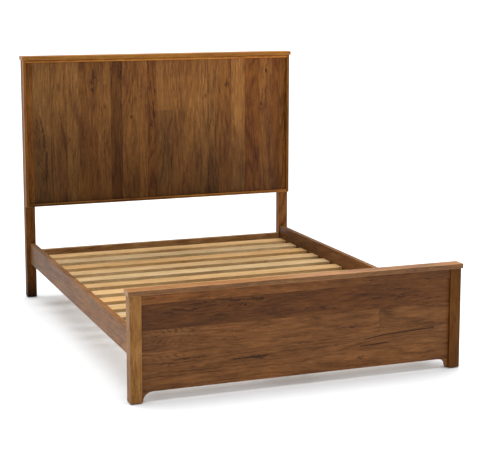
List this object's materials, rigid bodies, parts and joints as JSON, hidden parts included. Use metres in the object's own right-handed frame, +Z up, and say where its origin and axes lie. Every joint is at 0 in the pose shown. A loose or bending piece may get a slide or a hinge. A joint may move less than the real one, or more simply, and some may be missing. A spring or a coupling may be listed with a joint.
{
  "type": "bed frame",
  "caption": "Wooden panel bed frame for a queen mattress: tall boarded headboard, low footboard, side rails and a slat deck on a centre beam with screw-in levelling feet.",
  "frame": {"origin": "centre of the footprint of the whole bed frame, on the floor", "axes": "+Y from the footboard to the headboard, +Z up, +X to the right as seen from the foot of the bed"},
  "size_m": [1.642, 2.19, 1.396],
  "materials": {
    "headboard_boards": "satin brown stained hardwood boards, grain upright",
    "headboard_edging": "satin honey-brown stained hardwood",
    "headboard_post": "satin dark brown stained hardwood",
    "footboard_boards": "satin brown stained hardwood boards, grain across the bed",
    "footboard_cap": "satin light brown stained hardwood",
    "footboard_post": "satin brown stained hardwood",
    "side_rail": "satin brown stained hardwood",
    "hidden_frame_wood": "thin brown stain on hardwood",
    "slat_wood": "plain planed softwood",
    "zinc_plate": "zinc-plated pressed steel",
    "zinc_screw": "yellow zinc-plated steel",
    "steel": "bright zinc-plated steel",
    "black_plastic": "moulded black nylon"
  },
  "bodies": {
    "root": {"headboard_post_left": "headboard_post", "headboard_post_right": "headboard_post", "headboard_planks": "headboard_boards", "headboard_cap": "headboard_edging", "headboard_strip_top": "headboard_edging", "headboard_strip_bottom": "headboard_edging", "headboard_strip_left": "headboard_edging", "headboard_strip_right": "headboard_edging", "headboard_back_rail_top": "hidden_frame_wood", "headboard_back_rail_middle": "hidden_frame_wood", "headboard_back_rail_bottom": "hidden_frame_wood", "centre_beam": "hidden_frame_wood", "head_cross_rail": "hidden_frame_wood", "foot_cross_rail": "hidden_frame_wood", "footboard_post_left": "footboard_post", "footboard_post_right": "footboard_post", "footboard_top_rail": "footboard_boards", "footboard_planks": "footboard_boards", "footboard_bracket_left": "footboard_boards", "footboard_bracket_right": "footboard_boards", "footboard_cap": "footboard_cap", "post_glides": "black_plastic", "side_rail_left": "side_rail", "side_rail_right": "side_rail", "slat_cleat_left": "slat_wood", "slat_cleat_right": "slat_wood", "cleat_screws": "zinc_screw", "plate_screws": "zinc_screw", "slat_screws": "zinc_screw", "hanger_screws": "zinc_screw", "rail_hook_plates": "zinc_plate", "post_slot_plates": "zinc_plate", "beam_hanger_head": "steel", "beam_hanger_foot": "steel", "leg_bolts": "steel", "leg_tee_nuts": "steel", "slat_1": "slat_wood", "slat_2": "slat_wood", "slat_3": "slat_wood", "slat_4": "slat_wood", "slat_5": "slat_wood", "slat_6": "slat_wood", "slat_7": "slat_wood", "slat_8": "slat_wood", "slat_9": "slat_wood", "slat_10": "slat_wood", "slat_11": "slat_wood", "slat_12": "slat_wood", "slat_13": "slat_wood", "centre_leg_1": "hidden_frame_wood", "centre_leg_2": "hidden_frame_wood", "centre_leg_3": "hidden_frame_wood"},
    "levelling_foot_1": {"leveller_pad_1": "black_plastic"},
    "levelling_stem_1": {"leveller_stem_1": "steel"},
    "levelling_foot_2": {"leveller_pad_2": "black_plastic"},
    "levelling_stem_2": {"leveller_stem_2": "steel"},
    "levelling_foot_3": {"leveller_pad_3": "black_plastic"},
    "levelling_stem_3": {"leveller_stem_3": "steel"}
  },
  "joints": [
    {"name": "foot_1_lift", "type": "slide", "parent": "root", "child": "levelling_foot_1", "axis": [0, 0, 1], "range_m": [0, 0.012]},
    {"name": "foot_1_turn", "type": "hinge", "parent": "levelling_foot_1", "child": "levelling_stem_1", "pos_m": [0, -0.5145, 0.03], "axis": [0, 0, 1], "range_deg": [0, 3450]},
    {"name": "foot_2_lift", "type": "slide", "parent": "root", "child": "levelling_foot_2", "axis": [0, 0, 1], "range_m": [0, 0.012]},
    {"name": "foot_2_turn", "type": "hinge", "parent": "levelling_foot_2", "child": "levelling_stem_2", "pos_m": [0, 0.003, 0.03], "axis": [0, 0, 1], "range_deg": [0, 3450]},
    {"name": "foot_3_lift", "type": "slide", "parent": "root", "child": "levelling_foot_3", "axis": [0, 0, 1], "range_m": [0, 0.012]},
    {"name": "foot_3_turn", "type": "hinge", "parent": "levelling_foot_3", "child": "levelling_stem_3", "pos_m": [0, 0.5205, 0.03], "axis": [0, 0, 1], "range_deg": [0, 3450]}
  ],
  "couplings": [
    {"joint": "foot_1_lift", "follows": "foot_1_turn", "m_per_rad": 0.00019894},
    {"joint": "foot_2_lift", "follows": "foot_2_turn", "m_per_rad": 0.00019894},
    {"joint": "foot_3_lift", "follows": "foot_3_turn", "m_per_rad": 0.00019894}
  ]
}
